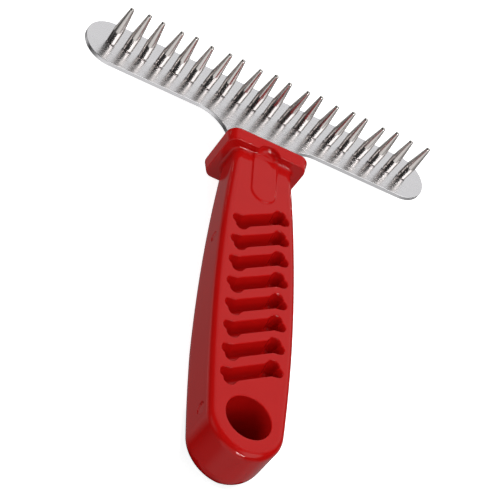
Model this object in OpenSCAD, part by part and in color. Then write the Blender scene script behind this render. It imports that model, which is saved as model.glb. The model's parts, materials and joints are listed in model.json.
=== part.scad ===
// Undercoat rake: one row of freely spinning pins on a T-shaped steel plate, held in a moulded handle.
// It lies on its back. +Z is the way the pins point, +Y runs from the handle to the head, and X runs
// along the row of pins. The origin is below the middle of the whole rake, on the surface it lies on.

/* [Overall] */
// Length from the end of the handle to the far edge of the bar
overall_l = 163.5; // [156:0.5:176]

/* [Pins] */
// Distance from pin to pin along the row
pin_pitch = 6; // [5:0.1:7]
// Diameter of a pin's straight body
pin_d = 3.6; // [3:0.1:4]
// Length of a pin in front of the plate
pin_l = 16.5; // [13:0.5:20]
// Length of the straight body, below the cone
pin_body_l = 6.2; // [4:0.1:8]
// Diameter of the rounded tip
tip_d = 1.5; // [1:0.1:1.8]
// Diameter of the shank that turns in the plate
shank_d = 1.9; // [1.6:0.1:2.1]
// Diameter of the head that is peened over behind the plate
peen_d = 3; // [2.8:0.1:3.4]

/* [Head plate] */
// Height of the cross bar
bar_w = 20; // [18:0.5:24]
// Distance from the last pin to the end of the bar
bar_margin = 9; // [7:0.5:12]
// Thickness of the plate
plate_t = 1.5; // [1.2:0.1:1.8]
// Height of the plate's front face above the surface that the rake lies on
plate_z = 12.3; // [11.5:0.1:12.6]
// Width of the neck between the bar and the handle
neck_w = 20; // [17:0.5:23]
// Radius of the hollow corners between the bar and the neck
neck_r = 13; // [10:0.5:13]
// Width of the tang inside the handle
tang_w = 14; // [12:0.5:15]
// Diameter of the holes that lock the tang in the plastic
lock_d = 5; // [4:0.5:6]

/* [Handle] */
// Greatest width of the grip
grip_w = 28.2; // [27:0.1:29.5]
// Height of the grip's front face at the hang hole
grip_h = 19.5; // [19:0.1:20.5]
// Rounding of the grip's front edges
front_r = 2.6; // [2:0.1:3]
// Rounding of the grip's back edges
back_r = 6; // [5:0.5:7]
// Width of the guard flange
guard_w = 30.3; // [29:0.1:32]
// Height of the guard flange, across the handle's thickness
guard_h = 21.7; // [21:0.1:22.5]
// Thickness of the guard flange, along the handle
guard_t = 4.7; // [4.2:0.1:6]
// Diameter of the hang hole
hang_d = 15; // [12:0.5:16]

/* [Grip recesses] */
// Distance from recess to recess
bone_pitch = 9.15; // [9.1:0.05:9.3]
// Length of a dog-bone recess at the widest part of the grip
bone_l = 22.8; // [20:0.1:23.4]
// Width across a recess's two end lobes
bone_w = 6.3; // [5.6:0.1:6.6]
// Width of a recess's waist
bone_waist = 4.4; // [3.6:0.1:4.8]
// Slant of the recesses from square across the handle
bone_slant = 32; // [28:1:36]
// Depth of a recess
bone_depth = 6; // [3:0.5:6]

/* [Hidden] */
$fn = 64;
pin_n = 20;
bone_n = 8;
pin_names = [for (i = [1:pin_n]) str("pin_", i < 10 ? "0" : "", i)];

// Every pin sits loosely. The leans drift along the row from minus to plus lean_drift, and each pin
// strays from that by lean_stray, in a direction that turns by the golden angle from pin to pin.
// Both are degrees, and a pair is towards +X and towards +Y.
lean_drift = [1, -1.5];
lean_stray = 2;
golden_angle = 137.5;
// Running clearance round a shank, and the free play at each end of it.
shank_gap = 0.08;
end_play = 0.3;
peen_h = 0.9;
body_chamfer = 0.3;
// How far a cut runs past the faces that it goes through.
over = 1;

// Places along Y.
far_y = overall_l / 2;
row_y = far_y - bar_w / 2;
guard_y = row_y - 25.1;
guard_mid_y = guard_y - guard_t / 2;
tang_end_y = row_y - 48;
lock_y = [tang_end_y + 5, tang_end_y + 13];
hang_y = row_y - 139.6;
end_y = -overall_l / 2;
bone_y = row_y - 58.3;

// The bar.
bar_l = (pin_n - 1) * pin_pitch + 2 * bar_margin;
plate_back_z = plate_z - plate_t;

// The grip's outline is an arc on each side and a half-round end. Its front rises and its back drops
// a little from the guard towards the end.
side_r = 660;
wide_y = row_y - 98;
end_r = 12.6;
cap_y = end_y + end_r;
grip_rise = 1;
grip_drop = 4.2;
level_y = row_y - 110;
steps_y = 8;
steps_end = 12;
ball_fn = 28;
guard_corner = 4;
guard_edge = 0.5;
guard_taper = 0.8;
guard_back_z = 1;
guard_mid_z = guard_back_z + guard_h / 2;

// The boss in front of the tang, and how far its round top end cuts into the guard.
boss_w = 8.6;
boss_h = 0.5;
boss_end_y = row_y - 50;
boss_round_y = boss_end_y + boss_w / 2;
notch_depth = 2.5;
notch_y = guard_mid_y - guard_t / 2 + notch_depth - boss_w / 2;

// How much rounder a recess's lobes are than a quarter of its width.
lobe_swell = 0.35;

// How far pin i leans.
function pin_lean(i) =
    lean_drift * (2 * i / (pin_n - 1) - 1)
    + lean_stray * [sin(golden_angle * i), -cos(golden_angle * i)];

// How far a place is along the slope from the guard (0) to the level part of the grip (1)
function along(y) = min(1, max(0, (guard_y - y) / (guard_y - level_y)));
function half_w(y) = grip_w / 2 - side_r + sqrt(side_r * side_r - (y - wide_y) * (y - wide_y));
function front_z(y) = grip_h - grip_rise * (1 - along(y));
function back_z(y) = grip_drop * (1 - along(y));

// A ball whose reach along each axis is exactly r
module ball(r) {
    sphere(r / cos(180 / ball_fn), $fn = ball_fn);
}

// The two edge balls of the grip at one place of its outline
module edge_pair(x, y) {
    translate([x - sign(x) * front_r, y, front_z(y) - front_r])
        ball(front_r);
    translate([x - sign(x) * back_r, y, back_z(y) + back_r])
        ball(back_r);
}

// The edge balls around the half-round end, at angle a from +X
module end_pair(a) {
    translate([(end_r - front_r) * cos(a), cap_y + (end_r - front_r) * sin(a), grip_h - front_r])
        ball(front_r);
    translate([(end_r - back_r) * cos(a), cap_y + (end_r - back_r) * sin(a), back_r])
        ball(back_r);
}

module grip() {
    intersection() {
        hull() {
            for (i = [0:steps_y], side = [-1, 1])
                let (y = guard_mid_y + (cap_y - guard_mid_y) * i / steps_y)
                    edge_pair(side * half_w(y), y);
            for (i = [0:steps_end])
                end_pair(-180 * i / steps_end);
        }
        translate([-grip_w, end_y - over, -over])
            cube([2 * grip_w, guard_mid_y - end_y + over, guard_h + 2 * over]);
    }
}

// The rounded edge of one corner of the flange, r from the corner's middle
module guard_ring(x, y, z, r) {
    translate([x, y, z])
        rotate([90, 0, 0])
            rotate_extrude($fn = 32)
                translate([r - guard_edge, 0])
                    circle(guard_edge, $fn = 16);
}

// The flange that stands out all round between the grip and the head. It is a little smaller on the
// side of the grip.
module guard_flange() {
    corner_x = guard_w / 2 - guard_corner;
    corner_z = guard_h / 2 - guard_corner;
    half_t = guard_t / 2 - guard_edge;
    hull()
        for (x = [-corner_x, corner_x], z = [-corner_z, corner_z]) {
            guard_ring(x, guard_mid_y + half_t, guard_mid_z + z, guard_corner);
            guard_ring(x, guard_mid_y - half_t, guard_mid_z + z, guard_corner - guard_taper);
        }
}

// The flange with the round notch that the boss runs into
module guard() {
    difference() {
        guard_flange();
        translate([0, notch_y, guard_mid_z])
            cylinder(d = boss_w, h = guard_h);
    }
}

// The shallow half-round boss in front of the tang
module boss() {
    translate([0, 0, plate_z])
        linear_extrude(front_z(boss_round_y) + boss_h - plate_z)
            union() {
                translate([0, boss_round_y])
                    circle(d = boss_w);
                translate([-boss_w / 2, boss_round_y])
                    square([boss_w, guard_mid_y - boss_round_y]);
            }
}

// One dog-bone recess, centred on the grip's front. It is shorter where the grip is narrower.
module bone(y) {
    lobe_r = bone_w / 4 + lobe_swell;
    lobe_x = (bone_l + half_w(y) - grip_w / 2) / 2 - lobe_r;
    lobe_y = bone_w / 2 - lobe_r;
    translate([0, y, front_z(y) - bone_depth])
        rotate([0, 0, bone_slant])
            linear_extrude(2 * bone_depth)
                union() {
                    square([2 * lobe_x, bone_waist], center = true);
                    for (x = [-lobe_x, lobe_x], side = [-lobe_y, lobe_y])
                        translate([x, side])
                            circle(lobe_r, $fn = 32);
                }
}

module handle() {
    color("firebrick")
        difference() {
            union() {
                grip();
                guard();
                boss();
            }
            for (i = [0:bone_n - 1])
                bone(bone_y - i * bone_pitch);
            translate([0, hang_y, -over])
                cylinder(d = hang_d, h = guard_h + 2 * over);
            plate_solid();
        }
}

// The outline of the bar, the neck with its hollow corners, and the tang
module plate_outline() {
    bar_x = bar_l / 2 - bar_w / 2;
    corner_x = neck_w / 2 + neck_r;
    bar_low_y = row_y - bar_w / 2;
    difference() {
        union() {
            translate([-bar_x, bar_low_y])
                square([2 * bar_x, bar_w]);
            for (side = [-1, 1])
                translate([side * bar_x, row_y])
                    circle(d = bar_w);
            translate([-corner_x, bar_low_y - neck_r])
                square([2 * corner_x, neck_r]);
            translate([-neck_w / 2, guard_mid_y])
                square([neck_w, bar_low_y - guard_mid_y]);
            translate([-tang_w / 2, tang_end_y])
                square([tang_w, guard_mid_y - tang_end_y + over]);
        }
        for (side = [-1, 1])
            translate([side * corner_x, bar_low_y - neck_r])
                circle(neck_r);
    }
}

module plate_solid() {
    translate([0, 0, plate_back_z])
        linear_extrude(plate_t)
            difference() {
                plate_outline();
                for (y = lock_y)
                    translate([0, y])
                        circle(d = lock_d);
            }
}

module head_plate() {
    color("gainsboro")
        difference() {
            plate_solid();
            for (i = [0:pin_n - 1])
                translate([pin_x(i), row_y, plate_back_z - over])
                    cylinder(d = shank_d + 2 * shank_gap, h = plate_t + 2 * over);
        }
}

function pin_x(i) = (i - (pin_n - 1) / 2) * pin_pitch;

// One turned pin, with its axis on Z and the middle of the plate at z = 0
module pin_shape() {
    base_z = plate_t / 2 + end_play;
    cone_z = plate_t / 2 + pin_body_l;
    tip_z = plate_t / 2 + pin_l - tip_d / 2;
    peen_z = -plate_t / 2 - end_play;
    rotate_extrude()
        polygon([
            [0, peen_z - peen_h],
            [peen_d / 4, peen_z - peen_h],
            [peen_d / 2, peen_z - peen_h / 2],
            [peen_d / 2, peen_z],
            [shank_d / 2, peen_z],
            [shank_d / 2, base_z],
            [pin_d / 2 - body_chamfer, base_z],
            [pin_d / 2, base_z + body_chamfer],
            [pin_d / 2, cone_z],
            [tip_d / 2, tip_z],
            [0, tip_z]
        ]);
    translate([0, 0, tip_z])
        sphere(d = tip_d);
}

module pin(i) {
    color("silver")
        translate([pin_x(i), row_y, plate_z - plate_t / 2])
            rotate([-pin_lean(i)[1], pin_lean(i)[0], 0])
                pin_shape();
}

handle();
head_plate();
for (i = [0:pin_n - 1])
    pin(i);
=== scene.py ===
"""Looks for the undercoat rake: moulded handle, steel head plate and twenty turned pins.

The handle is one smooth mesh taken from a distance function, so that its fillets, boss, recesses and
rounded edges flow into each other as moulded plastic does. The plate and the pins are built from
their outlines and profiles. Lengths in the shape code are millimetres, in the frame of the CAD.
"""

import json
import math

import bmesh
import bpy
import numpy as np
from mathutils import Matrix, Vector


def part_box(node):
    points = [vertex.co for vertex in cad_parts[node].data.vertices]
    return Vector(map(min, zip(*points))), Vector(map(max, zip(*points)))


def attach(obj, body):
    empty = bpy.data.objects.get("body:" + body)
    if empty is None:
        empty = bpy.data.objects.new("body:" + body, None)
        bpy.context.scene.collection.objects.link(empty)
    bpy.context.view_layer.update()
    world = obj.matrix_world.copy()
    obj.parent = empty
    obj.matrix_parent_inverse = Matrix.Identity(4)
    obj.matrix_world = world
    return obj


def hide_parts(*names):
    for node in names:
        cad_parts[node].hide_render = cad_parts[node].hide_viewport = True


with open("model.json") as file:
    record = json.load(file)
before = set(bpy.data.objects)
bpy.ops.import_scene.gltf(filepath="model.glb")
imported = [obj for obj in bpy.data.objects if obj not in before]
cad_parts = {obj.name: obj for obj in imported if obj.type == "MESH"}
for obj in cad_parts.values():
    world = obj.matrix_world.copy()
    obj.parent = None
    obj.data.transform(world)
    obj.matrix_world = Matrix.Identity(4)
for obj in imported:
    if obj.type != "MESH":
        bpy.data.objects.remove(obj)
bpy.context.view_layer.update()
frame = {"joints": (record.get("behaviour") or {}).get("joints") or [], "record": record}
MM = 0.001

# ---------------------------------------------------------------- sizes, as in the CAD (mm)
FAR_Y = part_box("head_plate")[1].y / MM
END_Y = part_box("handle")[0].y / MM
PLATE_BACK, PLATE_FRONT = (corner.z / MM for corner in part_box("head_plate"))
BAR_HALF_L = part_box("head_plate")[1].x / MM
BAR_R = 10.0
ROW_Y = FAR_Y - BAR_R

GRIP_W = 28.2
GRIP_H = 19.5
FRONT_R = 2.6
BACK_R = 6.0
SIDE_R = 660.0
END_R = 12.6
GRIP_RISE = 1.0
GRIP_DROP = 4.2
GUARD_W, GUARD_H, GUARD_T = 30.3, 21.7, 4.7
GUARD_BACK_Z = 1.0
GUARD_TAPER = 0.8
GUARD_CORNER = 4.0
GUARD_EDGE = 0.5
GUARD_Y = ROW_Y - 25.1
GUARD_MID_Y = GUARD_Y - GUARD_T / 2
WIDE_Y = ROW_Y - 98.0
LEVEL_Y = ROW_Y - 110.0
TANG_END_Y = ROW_Y - 48.0
LOCK_YS = (TANG_END_Y + 5.0, TANG_END_Y + 13.0)
HANG_Y = ROW_Y - 139.6
HANG_R = 7.5
BOSS_HALF_W = 4.3
BOSS_H = 0.5
BOSS_END_Y = ROW_Y - 50.0
NOTCH_DEPTH = 2.5
NOTCH_Y = GUARD_Y - GUARD_T + NOTCH_DEPTH - BOSS_HALF_W
NECK_HALF_W = 10.0
NECK_R = 13.0
TANG_HALF_W = 7.0
LOCK_R = 2.5
SHANK_GAP = 0.08

BONE_N = 8
BONE_Y = ROW_Y - 58.3
BONE_PITCH = 9.15
BONE_L = 22.8
BONE_W = 6.3
BONE_WAIST = 4.4
BONE_SLANT = math.radians(32.0)
BONE_DEPTH = 6.0
LOBE_SWELL = 0.35

# ---------------------------------------------------------------- corners beyond the CAD's (mm)
# Fillets are hollow corners; edges and rims are rounded outward corners. The guard's edge towards
# the grip is crisper than in the CAD, and the rest are corners that the CAD leaves sharp.
GUARD_NEAR_EDGE = 0.25
GUARD_FILLET = 1.3
BOSS_EDGE = 0.3
BOSS_FILLET = 0.7
NOTCH_FILLET = 2.5
NOTCH_RIM = 0.3
BONE_RIM = 0.3
BONE_DRAFT = 0.2
BONE_WAIST_EDGE = 0.1
BONE_WAIST_FILLET = 1.4
BONE_FLOOR_FILLET = 0.8
HANG_RIM = 0.35
# The plate's chamfers, and the angle past which its faces and a pin's meet in a sharp edge.
OUTLINE_CHAMFER = 0.06
HOLE_CHAMFER = 0.1
PLATE_SHARP = math.radians(30)
PIN_SHARP = math.radians(50)
# Shallow round marks on the grip's -X side, as a mould's ejector pins leave: y, z and radius.
MARKS = [(3.7, 13.2, 1.7), (-66.2, 13.6, 2.0)]
MARK_DEPTH = 0.3
MARK_FILLET = 0.25
MARK_RIM = 0.2

# The handle's mesh: the grid it is taken from, and how far that grid reaches past the handle.
NET_STEP = 0.42
NET_MARGIN = 0.8


# ---------------------------------------------------------------- distance functions
def round_both(a, b, r):
    """Where both a and b are negative, with their common edge rounded by r."""
    u, v = a + r, b + r
    return np.minimum(np.maximum(u, v), 0) + np.hypot(np.maximum(u, 0), np.maximum(v, 0)) - r


def round_either(a, b, r):
    """Where a or b is negative, with a fillet of radius r between them."""
    return -round_both(-a, -b, r)


def rounded_box_2d(x, y, half_x, half_y, r):
    qx, qy = np.abs(x) - half_x + r, np.abs(y) - half_y + r
    return np.hypot(np.maximum(qx, 0), np.maximum(qy, 0)) + np.minimum(np.maximum(qx, qy), 0) - r


def slope(y):
    """0 at the guard, rising steadily to 1 on the level part of the grip."""
    return np.clip((GUARD_Y - y) / (GUARD_Y - LEVEL_Y), 0, 1)


def grip_half_width(y):
    return GRIP_W / 2 - SIDE_R + np.sqrt(SIDE_R ** 2 - (y - WIDE_Y) ** 2)


def front_height(y):
    return GRIP_H - GRIP_RISE * (1 - slope(y))


def grip(x, y, z):
    """The long grip: curved sides, a round end, rounded front and back edges."""
    side = np.hypot(np.abs(x) + SIDE_R - GRIP_W / 2, y - WIDE_Y) - SIDE_R
    plan = round_both(side, END_Y - y, END_R)
    front = round_both(plan, z - front_height(y), FRONT_R)
    back = round_both(plan, GRIP_DROP * (1 - slope(y)) - z, BACK_R)
    return np.maximum(np.maximum(front, back), y - GUARD_MID_Y)


def guard(x, y, z):
    """The flange, which tapers a little towards the grip."""
    middle_z = GUARD_BACK_Z + GUARD_H / 2
    section = rounded_box_2d(x, z - middle_z, GUARD_W / 2, GUARD_H / 2, GUARD_CORNER)
    section += GUARD_TAPER * np.clip((GUARD_Y - y) / GUARD_T, 0, 1)
    edge = np.where(y > GUARD_MID_Y, GUARD_EDGE, GUARD_NEAR_EDGE)
    return round_both(section, np.abs(y - GUARD_MID_Y) - GUARD_T / 2, edge)


def boss(x, y, z):
    """The shallow pad over the tang, with a half-round lower end."""
    round_y = BOSS_END_Y + BOSS_HALF_W
    plan = np.hypot(x, np.minimum(y - round_y, 0)) - BOSS_HALF_W
    top = z - front_height(y) - BOSS_H
    pad = round_both(plan, top, BOSS_EDGE)
    return np.maximum(np.maximum(pad, PLATE_FRONT - z), y - GUARD_MID_Y)


def notch(x, y, z):
    """The round hollow that the boss's top end leaves in the guard."""
    plan = np.hypot(x, y - NOTCH_Y) - BOSS_HALF_W
    return round_both(plan, front_height(y) + BOSS_H - z, NOTCH_FILLET)


def bone(x, y):
    """Plan distance to the nearest dog-bone recess, and the middle line that it lies on."""
    along = (BONE_Y - (y - x * math.tan(BONE_SLANT))) / BONE_PITCH
    mid_y = BONE_Y - BONE_PITCH * np.clip(np.round(along), 0, BONE_N - 1)
    dx = x * math.cos(BONE_SLANT) + (y - mid_y) * math.sin(BONE_SLANT)
    dy = -x * math.sin(BONE_SLANT) + (y - mid_y) * math.cos(BONE_SLANT)
    lobe_r = BONE_W / 4 + LOBE_SWELL
    lobe_x = (BONE_L + grip_half_width(mid_y) - GRIP_W / 2) / 2 - lobe_r
    lobe_y = BONE_W / 2 - lobe_r
    bar = rounded_box_2d(dx, dy, lobe_x, BONE_WAIST / 2, BONE_WAIST_EDGE)
    lobes = np.hypot(np.abs(dx) - lobe_x, np.abs(dy) - lobe_y) - lobe_r
    return round_either(bar, lobes, BONE_WAIST_FILLET), mid_y


def recesses(x, y, z):
    """The dog-bone recesses, drafted and with a rounded floor."""
    plan, mid_y = bone(x, y)
    depth = front_height(mid_y) - z
    return round_both(plan + BONE_DRAFT * depth, depth - BONE_DEPTH, BONE_FLOOR_FILLET)


def tang_slot(x, y, z):
    """The room that neck and tang take up, less the plastic in the lock holes."""
    neck = np.maximum(np.abs(x) - NECK_HALF_W, GUARD_MID_Y - y)
    tang = np.maximum(np.abs(x) - TANG_HALF_W, TANG_END_Y - y)
    plan = np.minimum(neck, tang)
    for lock_y in LOCK_YS:
        plan = np.maximum(plan, LOCK_R - np.hypot(x, y - lock_y))
    thickness = np.abs(z - (PLATE_BACK + PLATE_FRONT) / 2) - (PLATE_FRONT - PLATE_BACK) / 2
    return np.maximum(plan, thickness)


def handle_distance(p):
    """The whole moulding at points p: negative inside, zero on its surface."""
    x, y, z = p[..., 0], p[..., 1], p[..., 2]
    flange = round_both(guard(x, y, z), -notch(x, y, z), NOTCH_RIM)
    body = round_either(grip(x, y, z), flange, GUARD_FILLET)
    body = round_either(body, boss(x, y, z), BOSS_FILLET)
    body = round_both(body, -recesses(x, y, z), BONE_RIM)
    body = round_both(body, HANG_R - np.hypot(x, y - HANG_Y), HANG_RIM)
    for mark_y, mark_z, r in MARKS:
        plan = np.hypot(y - mark_y, z - mark_z) - r
        dent = round_both(plan, x + grip_half_width(mark_y) - MARK_DEPTH, MARK_FILLET)
        body = round_both(body, -dent, MARK_RIM)
    return np.maximum(body, -tang_slot(x, y, z))


def slope_of(distance, p, eps=0.01):
    """Gradient of a distance function at the points p, by central differences."""
    g = np.empty_like(p)
    for axis in range(3):
        step = np.zeros(3)
        step[axis] = eps
        g[:, axis] = (distance(p + step) - distance(p - step)) / (2 * eps)
    return g


def surface_net(distance, low, high, step):
    """Quads on the zero surface of a distance function: one vertex in each grid cell that it crosses."""
    axes = [np.arange(a, b + step, step) for a, b in zip(low, high)]
    shape = tuple(len(a) for a in axes)
    value = np.empty(shape)
    for i, x in enumerate(axes[0]):
        plane = np.stack(np.meshgrid([x], axes[1], axes[2], indexing="ij"), -1)
        value[i] = distance(plane)[0]
    inside = value < 0
    cells = tuple(n - 1 for n in shape)
    total = np.zeros(cells, int)
    for i in (0, 1):
        for j in (0, 1):
            for k in (0, 1):
                total += inside[i:i + cells[0], j:j + cells[1], k:k + cells[2]]
    crossed = (total > 0) & (total < 8)
    cell = np.argwhere(crossed)
    number = np.full(cells, -1)
    number[tuple(cell.T)] = np.arange(len(cell))
    point_sum, hits = np.zeros((len(cell), 3)), np.zeros(len(cell))
    for axis in range(3):
        others = [a for a in range(3) if a != axis]
        for i in (0, 1):
            for j in (0, 1):
                start = cell.copy()
                start[:, others[0]] += i
                start[:, others[1]] += j
                end = start.copy()
                end[:, axis] += 1
                a, b = value[tuple(start.T)], value[tuple(end.T)]
                hit = (a < 0) != (b < 0)
                t = np.where(hit, a / np.where(hit, a - b, 1), 0)
                place = start.astype(float)
                place[:, axis] += t
                point_sum[hit] += place[hit]
                hits[hit] += 1
    points = point_sum / hits[:, None] * step + np.array([a[0] for a in axes])
    quads = []
    for axis in range(3):
        b, c = (axis + 1) % 3, (axis + 2) % 3
        lo = [slice(None)] * 3
        hi = [slice(None)] * 3
        lo[axis], hi[axis] = slice(0, -1), slice(1, None)
        for out in (True, False):
            edge = np.argwhere((inside[tuple(lo)] == out) & (inside[tuple(hi)] != out))
            ring = []
            for db, dc in ((0, 0), (1, 0), (1, 1), (0, 1)):
                c_at = edge.copy()
                c_at[:, b] -= db
                c_at[:, c] -= dc
                ring.append(number[tuple(c_at.T)])
            ring = np.stack(ring, 1)
            quads.append(ring if out else ring[:, ::-1])
    return points, np.concatenate(quads)


def settle(distance, points, rounds=6):
    """Moves points onto the zero surface along its slope."""
    for _ in range(rounds):
        g = slope_of(distance, points)
        length = np.maximum((g ** 2).sum(1), 0.25)
        move = (distance(points) / length)[:, None] * g
        points = points - np.clip(move, -NET_STEP / 2, NET_STEP / 2)
    return points


# ---------------------------------------------------------------- mesh helpers
def add_to_scene(name, data):
    obj = bpy.data.objects.new(name, data)
    bpy.context.scene.collection.objects.link(obj)
    return obj


def smooth_object(name, points, faces):
    """A smooth-shaded object from points in millimetres."""
    mesh = bpy.data.meshes.new(name)
    mesh.from_pydata([tuple(p) for p in points * MM], [], [tuple(f) for f in faces])
    mesh.update()
    mesh.shade_smooth()
    return add_to_scene(name, mesh)


def bmesh_object(name, mesh):
    data = bpy.data.meshes.new(name)
    mesh.to_mesh(data)
    mesh.free()
    return add_to_scene(name, data)


def make_handle():
    """The moulding's mesh, held inside the handle's box, with the distance function's own normals."""
    lowest = np.array([-GUARD_W / 2, END_Y, 0.0])
    highest = np.array([GUARD_W / 2, GUARD_Y, GUARD_BACK_Z + GUARD_H])
    points, quads = surface_net(handle_distance, lowest - NET_MARGIN, highest + NET_MARGIN, NET_STEP)
    points = np.clip(settle(handle_distance, points), lowest, highest)
    obj = smooth_object("handle_moulding", points, quads.tolist())
    normals = slope_of(handle_distance, points, 0.03)
    normals /= np.maximum(np.linalg.norm(normals, axis=1), 1e-6)[:, None]
    obj.data.normals_split_custom_set_from_vertices([tuple(n) for n in normals])
    return obj


def arc(cx, cy, r, start, end, steps):
    """Points of an arc with their outward normals (away from its centre)."""
    angle = np.radians(np.linspace(start, end, steps + 1))
    n = np.stack([np.cos(angle), np.sin(angle)], 1)
    return np.array([cx, cy]) + r * n, n


def plate_outline():
    """The outline of bar, neck and tang, counterclockwise, with outward normals.

    The last number of each stretch is how many steps it is cut into.
    """
    bar_x = BAR_HALF_L - BAR_R
    bar_low = ROW_Y - BAR_R
    corner_x = NECK_HALF_W + NECK_R
    parts = []

    def line(a, b, steps):
        a, b = np.array(a), np.array(b)
        d = (b - a) / np.linalg.norm(b - a)
        t = np.linspace(0, 1, steps + 1)[:, None]
        parts.append((a + (b - a) * t, np.tile([d[1], -d[0]], (steps + 1, 1))))

    def add_arc(*args, inward=False):
        p, n = arc(*args)
        parts.append((p, -n if inward else n))

    add_arc(corner_x, bar_low - NECK_R, NECK_R, 180, 90, 32, inward=True)
    line((corner_x, bar_low), (bar_x, bar_low), 12)
    add_arc(bar_x, ROW_Y, BAR_R, -90, 90, 64)
    line((bar_x, FAR_Y), (-bar_x, FAR_Y), 40)
    add_arc(-bar_x, ROW_Y, BAR_R, 90, 270, 64)
    line((-bar_x, bar_low), (-corner_x, bar_low), 12)
    add_arc(-corner_x, bar_low - NECK_R, NECK_R, 90, 0, 32, inward=True)
    line((-NECK_HALF_W, bar_low - NECK_R), (-NECK_HALF_W, GUARD_MID_Y), 4)
    line((-NECK_HALF_W, GUARD_MID_Y), (-TANG_HALF_W, GUARD_MID_Y), 1)
    line((-TANG_HALF_W, GUARD_MID_Y), (-TANG_HALF_W, TANG_END_Y), 4)
    line((-TANG_HALF_W, TANG_END_Y), (TANG_HALF_W, TANG_END_Y), 2)
    line((TANG_HALF_W, TANG_END_Y), (TANG_HALF_W, GUARD_MID_Y), 4)
    line((TANG_HALF_W, GUARD_MID_Y), (NECK_HALF_W, GUARD_MID_Y), 1)
    line((NECK_HALF_W, GUARD_MID_Y), (NECK_HALF_W, bar_low - NECK_R), 4)
    points, normals = [], []
    for p, n in parts:
        for a, b in zip(p, n):
            if points and np.linalg.norm(points[-1] - a) < 1e-6:
                mean = normals[-1] + b
                normals[-1] = mean / np.dot(mean, b)
            else:
                points.append(a)
                normals.append(b)
    if np.linalg.norm(points[0] - points[-1]) < 1e-6:
        mean = normals[0] + normals[-1]
        normals[0] = mean / np.dot(mean, normals[-1])
        points.pop()
        normals.pop()
    return np.array(points), np.array(normals)


def plate_loops():
    """The outline and every hole: points, normals out of the metal, and the chamfer of their edge."""
    loops = [(*plate_outline(), OUTLINE_CHAMFER)]
    hole_r = SHANK_R + SHANK_GAP
    holes = [(j["pos_m"][0] / MM, ROW_Y, hole_r, 32) for j in frame["joints"]]
    holes += [(0.0, lock_y, LOCK_R, 48) for lock_y in LOCK_YS]
    for cx, cy, r, steps in holes:
        p, n = arc(cx, cy, r, 360, 0, steps)
        loops.append((p[:-1], -n[:-1], HOLE_CHAMFER))
    return loops


def make_plate():
    """The stamped plate, with a small chamfer round its outline and holes on both faces."""
    mesh = bmesh.new()
    back_rims, front_rims = [], []
    for points, normals, r in plate_loops():
        profile = [(r, PLATE_BACK), (0, PLATE_BACK + r), (0, PLATE_FRONT - r), (r, PLATE_FRONT)]
        rings = []
        for inset, z in profile:
            place = points - normals * inset
            rings.append([mesh.verts.new((x * MM, y * MM, z * MM)) for x, y in place])
        count = len(points)
        for low, high in zip(rings, rings[1:]):
            for i in range(count):
                j = (i + 1) % count
                mesh.faces.new((low[i], low[j], high[j], high[i]))
        back_rims.append(rings[0])
        front_rims.append(rings[-1])
    for rims in (back_rims, front_rims):
        edges = []
        for ring in rims:
            for i, vert in enumerate(ring):
                edges.append(mesh.edges.get((vert, ring[(i + 1) % len(ring)])))
        bmesh.ops.triangle_fill(mesh, use_beauty=True, edges=edges)
    bmesh.ops.recalc_face_normals(mesh, faces=mesh.faces)
    obj = bmesh_object("head_plate_stamping", mesh)
    obj.data.shade_smooth()
    obj.data.set_sharp_from_angle(angle=PLATE_SHARP)
    return obj


# ---------------------------------------------------------------- pins
PIN_R = 1.8
PIN_L = 16.5
PIN_BODY_L = 6.2
TIP_R = 0.75
# The tip ends in a small flat instead of the CAD's ball, so it stops short to stay inside the CAD's box.
TIP_SHORT = 0.01
SHANK_R = 0.95
PEEN_R = 1.5
PEEN_H = 0.9
END_PLAY = 0.3
# Points round a pin.
PIN_TURN = 48


def rounded_profile(corners, steps=5):
    """Points along a line of (r, z, radius) corners, each corner rounded by its own radius."""
    out = []
    for i, (r, z, radius) in enumerate(corners):
        p = np.array([r, z])
        if radius == 0 or i in (0, len(corners) - 1):
            out.append(p)
            continue
        a = np.array(corners[i - 1][:2]) - p
        b = np.array(corners[i + 1][:2]) - p
        a /= np.linalg.norm(a)
        b /= np.linalg.norm(b)
        half = math.acos(np.clip(np.dot(a, b), -1, 1)) / 2
        reach = radius / math.tan(half)
        middle = a + b
        centre = p + middle / np.linalg.norm(middle) * radius / math.sin(half)
        first, last = p + a * reach - centre, p + b * reach - centre
        turn = math.pi - 2 * half
        for k in range(steps + 1):
            t = k / steps
            mix = (math.sin((1 - t) * turn) * first + math.sin(t * turn) * last) / math.sin(turn)
            out.append(centre + mix)
    return out


def pin_profile():
    """The turned outline, from the peened head through the shank and body to the tip."""
    half_t = (PLATE_FRONT - PLATE_BACK) / 2
    back = -half_t - END_PLAY
    base = half_t + END_PLAY
    end = half_t + PIN_L - TIP_SHORT
    return rounded_profile([
        (0, back - PEEN_H, 0),
        (0.8, back - PEEN_H, 0.5),
        (PEEN_R, back - PEEN_H * 0.45, 0.35),
        (PEEN_R, back, 0.1),
        (SHANK_R, back, 0),
        (SHANK_R, base, 0),
        (PIN_R - 0.4, base, 0.05),
        (PIN_R, base + 0.4, 0.05),
        (PIN_R, half_t + PIN_BODY_L, 1.2),
        (TIP_R, end - 0.3, 0.35),
        (0.4, end, 0.35),
        (0, end, 0),
    ])


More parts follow.
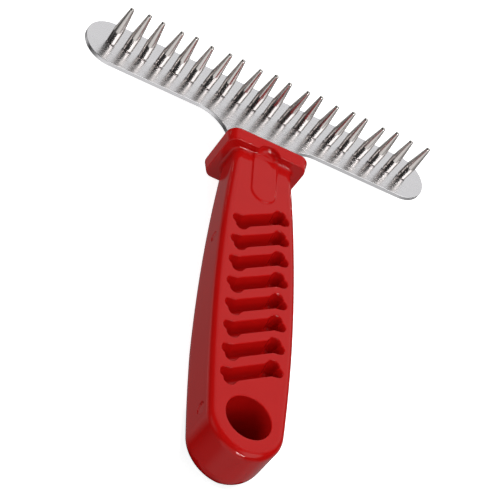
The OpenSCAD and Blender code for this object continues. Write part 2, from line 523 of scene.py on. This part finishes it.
def make_pin(name, joint):
    """A pin turned about its joint's axis."""
    profile = pin_profile()
    place = np.array(joint["pos_m"]) / MM
    lean = Vector((0, 0, 1)).rotation_difference(Vector(joint["axis"])).to_matrix()
    lean = np.array(lean)
    angle = np.linspace(0, 2 * math.pi, PIN_TURN, endpoint=False)
    points, rings = [], []
    for r, z in profile:
        if r < 1e-9:
            rings.append([len(points)])
            points.append((0, 0, z))
        else:
            rings.append(list(range(len(points), len(points) + PIN_TURN)))
            points += [(r * math.cos(a), r * math.sin(a), z) for a in angle]
    faces = []
    for low, high in zip(rings, rings[1:]):
        for i in range(PIN_TURN):
            j = (i + 1) % PIN_TURN
            if len(low) == 1:
                faces.append((low[0], high[j], high[i]))
            elif len(high) == 1:
                faces.append((low[i], low[j], high[0]))
            else:
                faces.append((low[i], low[j], high[j], high[i]))
    obj = smooth_object(name, np.array(points) @ lean.T + place, faces)
    obj.data.set_sharp_from_angle(angle=PIN_SHARP)
    return obj


# ---------------------------------------------------------------- materials
class Nodes:
    """A material's node tree, built in few words."""

    def __init__(self, name):
        self.material = bpy.data.materials.new(name)
        self.material.use_nodes = True
        self.tree = self.material.node_tree
        self.tree.nodes.clear()
        self.out = self.add("ShaderNodeOutputMaterial")
        self.shader = self.add("ShaderNodeBsdfPrincipled")
        self.link(self.shader.outputs[0], self.out.inputs["Surface"])
        self.place = self.add("ShaderNodeTexCoord").outputs["Object"]

    def add(self, kind, **values):
        node = self.tree.nodes.new(kind)
        for key, value in values.items():
            setattr(node, key, value)
        return node

    def link(self, a, b):
        self.tree.links.new(a, b)

    def set(self, **values):
        for key, value in values.items():
            self.shader.inputs[key.replace("_", " ")].default_value = value

    def mapped(self, scale):
        node = self.add("ShaderNodeMapping")
        node.inputs["Scale"].default_value = scale
        self.link(self.place, node.inputs["Vector"])
        return node.outputs[0]

    def noise(self, scale, detail, roughness=0.5, vector=None):
        node = self.add("ShaderNodeTexNoise")
        node.inputs["Scale"].default_value = scale
        node.inputs["Detail"].default_value = detail
        node.inputs["Roughness"].default_value = roughness
        self.link(vector or self.place, node.inputs["Vector"])
        return node.outputs["Fac"]

    def ramp(self, value, low, high, out_low, out_high):
        node = self.add("ShaderNodeMapRange")
        node.inputs["From Min"].default_value = low
        node.inputs["From Max"].default_value = high
        node.inputs["To Min"].default_value = out_low
        node.inputs["To Max"].default_value = out_high
        self.link(value, node.inputs["Value"])
        return node.outputs["Result"]

    def total(self, a, b):
        node = self.add("ShaderNodeMath", operation="ADD")
        self.link(a, node.inputs[0])
        self.link(b, node.inputs[1])
        return node.outputs[0]

    def blend(self, factor, a, b):
        node = self.add("ShaderNodeMix", data_type="RGBA")
        self.link(factor, node.inputs["Factor"])
        node.inputs["A"].default_value = (*a, 1)
        node.inputs["B"].default_value = (*b, 1)
        return node.outputs["Result"]

    def bump(self, height, distance, strength, normal=None):
        node = self.add("ShaderNodeBump")
        node.inputs["Distance"].default_value = distance
        node.inputs["Strength"].default_value = strength
        self.link(height, node.inputs["Height"])
        if normal:
            self.link(normal, node.inputs["Normal"])
        return node.outputs["Normal"]

    def feed(self, key, value):
        self.link(value, self.shader.inputs[key])


def red_plastic():
    m = Nodes("glossy_red_plastic")
    cloud = m.noise(90, 3)
    m.feed("Base Color", m.blend(cloud, (0.50, 0.004, 0.004), (0.55, 0.007, 0.006)))
    grain = m.noise(1800, 2)
    m.feed("Roughness", m.ramp(m.noise(260, 4, 0.6), 0.3, 0.7, 0.07, 0.12))
    waves = m.bump(m.noise(120, 1), 0.00003, 0.5)
    m.feed("Normal", m.bump(grain, 0.000004, 0.6, waves))
    m.set(IOR=1.35)
    return m.material


def plate_steel():
    m = Nodes("semi_gloss_steel")
    cloud = m.noise(140, 4, 0.6)
    m.feed("Base Color", m.blend(cloud, (0.91, 0.90, 0.92), (0.96, 0.95, 0.97)))
    streaks = m.noise(900, 3, 0.6, m.mapped((0.06, 1, 1)))
    m.feed("Roughness", m.ramp(streaks, 0.3, 0.7, 0.22, 0.30))
    m.feed("Normal", m.bump(streaks, 0.000004, 0.12))
    m.set(Metallic=1.0)
    return m.material


# The heights between which a pin's polished body turns into its more satin cone.
SATIN_START = (17.5 * MM, 19.5 * MM)


def pin_steel():
    m = Nodes("polished_nickel")
    smudge = m.noise(420, 3, 0.6)
    m.feed("Base Color", m.blend(smudge, (0.73, 0.68, 0.65), (0.85, 0.81, 0.78)))
    height = m.add("ShaderNodeSeparateXYZ")
    m.link(m.place, height.inputs[0])
    satin = m.ramp(height.outputs["Z"], *SATIN_START, 0.07, 0.24)
    m.feed("Roughness", m.total(satin, m.ramp(smudge, 0.3, 0.7, -0.02, 0.03)))
    rings = m.noise(2400, 2, 0.5, m.mapped((0.2, 0.2, 1)))
    m.feed("Normal", m.bump(rings, 0.000003, 0.35))
    m.set(Metallic=1.0)
    return m.material


# ---------------------------------------------------------------- build
bodies = frame["record"]["behaviour"]["bodies"]
root_body = next(name for name, nodes in bodies.items() if "handle" in nodes)

handle = make_handle()
handle.data.materials.append(red_plastic())
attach(handle, root_body)
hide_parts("handle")

plate = make_plate()
plate.data.materials.append(plate_steel())
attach(plate, root_body)
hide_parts("head_plate")

nickel = pin_steel()
for joint in frame["joints"]:
    node = joint["child"]
    pin = make_pin(node + "_turned", joint)
    pin.data.materials.append(nickel)
    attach(pin, node)
    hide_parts(node)


# ---------------------------------------------------------------- studio (metres)
CAMERA_PLACE = (-0.1936, -0.4139, 0.3977)
CAMERA_TARGET = (0.0, 0.00545, 0.0123)
CAMERA_ROLL = math.radians(39.95)
CAMERA_LENS = 136.6
LIGHT_DISTANCE = 1.3
LIGHT_TARGET = (0, 0, 0.012)
FLOOR_Z = -0.0005
FLOOR_HALF_L = 3.0
DOME_R = 2.9
# The painted shadow under the hang hole, a black sheet in place of the handle's shadow on the floor: a
# square, in millimetres as the shape code has it.
SHADE_Y, SHADE_HALF_L = -68, 12
SHADE_Z = -0.0003


def aim(obj, at, roll=0.0):
    """Turns obj so that its -Z axis points at a place, then rolls it about that axis."""
    forward = (Vector(at) - obj.location).normalized()
    obj.rotation_mode = "QUATERNION"
    facing = forward.to_track_quat("-Z", "Y")
    obj.rotation_quaternion = facing @ Matrix.Rotation(roll, 3, "Z").to_quaternion()


def make_camera():
    data = bpy.data.cameras.new("camera")
    data.lens = CAMERA_LENS
    data.sensor_width = 36.0
    data.clip_start, data.clip_end = 0.01, 20.0
    obj = add_to_scene("camera", data)
    obj.location = CAMERA_PLACE
    aim(obj, CAMERA_TARGET, CAMERA_ROLL)
    bpy.context.scene.camera = obj


def emitter(name, colour, strength):
    material = bpy.data.materials.new(name)
    material.use_nodes = True
    tree = material.node_tree
    tree.nodes.clear()
    out = tree.nodes.new("ShaderNodeOutputMaterial")
    glow = tree.nodes.new("ShaderNodeEmission")
    glow.inputs["Color"].default_value = (*colour, 1)
    glow.inputs["Strength"].default_value = strength
    tree.links.new(glow.outputs[0], out.inputs["Surface"])
    return material


def direction(azimuth, elevation):
    """The way to a place in the room: degrees from +X towards +Y, and degrees up."""
    a, e = math.radians(azimuth), math.radians(elevation)
    return Vector((math.cos(a) * math.cos(e), math.sin(a) * math.cos(e), math.sin(e)))


def area_light(name, azimuth, elevation, size, power):
    """A white panel that faces the rake."""
    data = bpy.data.lights.new(name, "AREA")
    data.shape = "RECTANGLE"
    data.size, data.size_y = size
    data.energy = power
    obj = add_to_scene(name, data)
    obj.location = tuple(direction(azimuth, elevation) * LIGHT_DISTANCE)
    aim(obj, LIGHT_TARGET)
    obj.visible_camera = False
    return obj


def make_floor():
    """Plain white paper. Its own glow keeps it white; it lights nothing and isn't mirrored."""
    mesh = bmesh.new()
    bmesh.ops.create_grid(mesh, x_segments=8, y_segments=8, size=FLOOR_HALF_L)
    obj = bmesh_object("floor", mesh)
    obj.location.z = FLOOR_Z
    material = bpy.data.materials.new("white_paper")
    material.use_nodes = True
    shader = material.node_tree.nodes["Principled BSDF"]
    shader.inputs["Base Color"].default_value = (0.9, 0.9, 0.9, 1)
    shader.inputs["Roughness"].default_value = 0.9
    shader.inputs["Specular IOR Level"].default_value = 0.0
    shader.inputs["Emission Color"].default_value = (1, 1, 1, 1)
    shader.inputs["Emission Strength"].default_value = 0.85
    obj.data.materials.append(material)
    obj.visible_glossy = False
    obj.visible_diffuse = False


def make_shade():
    """A painted shadow: a black sheet under the handle in place of its shadow on the floor, for the hang
    hole's wall to mirror. The camera doesn't see it.
    """
    mesh = bmesh.new()
    verts = []
    for side, end in ((-1, -1), (1, -1), (1, 1), (-1, 1)):
        x, y = side * SHADE_HALF_L, SHADE_Y + end * SHADE_HALF_L
        verts.append(mesh.verts.new((x * MM, y * MM, SHADE_Z)))
    mesh.faces.new(verts)
    obj = bmesh_object("shade", mesh)
    # Black and unlit: the painted shadow that the hang hole's wall mirrors.
    obj.data.materials.append(emitter("shade_black", (0, 0, 0), 0.0))
    obj.visible_camera = False
    obj.visible_shadow = False


def make_backdrop():
    """A white dome behind everything that only the camera sees."""
    mesh = bmesh.new()
    bmesh.ops.create_uvsphere(mesh, u_segments=32, v_segments=16, radius=DOME_R)
    bmesh.ops.reverse_faces(mesh, faces=mesh.faces)
    obj = bmesh_object("backdrop", mesh)
    obj.data.materials.append(emitter("backdrop_white", (1, 1, 1), 1.0))
    obj.visible_glossy = False
    obj.visible_diffuse = False
    obj.visible_shadow = False
    obj.visible_transmission = False


# The room, seen by everything but the camera. Each entry is a soft patch of light: its azimuth and
# elevation, the half angles where it is full and where it ends (all degrees), and its strength.
ROOM_BASE = 0.02
ROOM_PATCHES = [
    (65, 45, 22, 50, 0.82),
    (-45, 40, 16, 32, 1.9),
    (-104, -14, 26, 40, 0.62),
    (-110, -38, 10, 60, 0.28),
    (-50, -40, 10, 36, 0.38),
    (20, -36, 8, 40, 0.34),
    (115, -38, 12, 32, 0.24),
    (150, -26, 8, 26, 0.5),
    (185, 18, 8, 24, 0.45),
]


def make_world():
    """A studio room of soft patches, so that metal and gloss have something bright and dark to show."""
    world = bpy.data.worlds.new("studio")
    bpy.context.scene.world = world
    world.use_nodes = True
    tree = world.node_tree
    tree.nodes.clear()
    out = tree.nodes.new("ShaderNodeOutputWorld")
    back = tree.nodes.new("ShaderNodeBackground")
    way = tree.nodes.new("ShaderNodeTexCoord").outputs["Generated"]
    total = None
    for azimuth, elevation, inner, outer, strength in ROOM_PATCHES:
        dot = tree.nodes.new("ShaderNodeVectorMath")
        dot.operation = "DOT_PRODUCT"
        dot.inputs[1].default_value = direction(azimuth, elevation)
        tree.links.new(way, dot.inputs[0])
        patch = tree.nodes.new("ShaderNodeMapRange")
        patch.interpolation_type = "SMOOTHSTEP"
        patch.inputs["From Min"].default_value = math.cos(math.radians(outer))
        patch.inputs["From Max"].default_value = math.cos(math.radians(inner))
        patch.inputs["To Max"].default_value = strength
        tree.links.new(dot.outputs["Value"], patch.inputs["Value"])
        add = tree.nodes.new("ShaderNodeMath")
        add.inputs[1].default_value = ROOM_BASE
        tree.links.new(patch.outputs["Result"], add.inputs[0])
        if total is not None:
            tree.links.new(total, add.inputs[1])
        total = add.outputs[0]
    tree.links.new(total, back.inputs["Strength"])
    tree.links.new(back.outputs[0], out.inputs["Surface"])


def make_lights():
    """Three panels that light the rake and aren't mirrored, and a strip that is only mirrored."""
    panel = (0.9, 0.9)
    for light in (area_light("key", 10, 72, panel, 6.4),
                  area_light("fill_left", 172, 14, panel, 7.4),
                  area_light("fill_front", -80, 38, panel, 3.6)):
        light.visible_glossy = False
    strip = area_light("strip", -79, 16, (0.8, 0.1), 12.0)
    strip.visible_diffuse = False


make_camera()
make_world()
make_floor()
make_shade()
make_backdrop()
make_lights()
bpy.context.scene.view_settings.view_transform = "Standard"
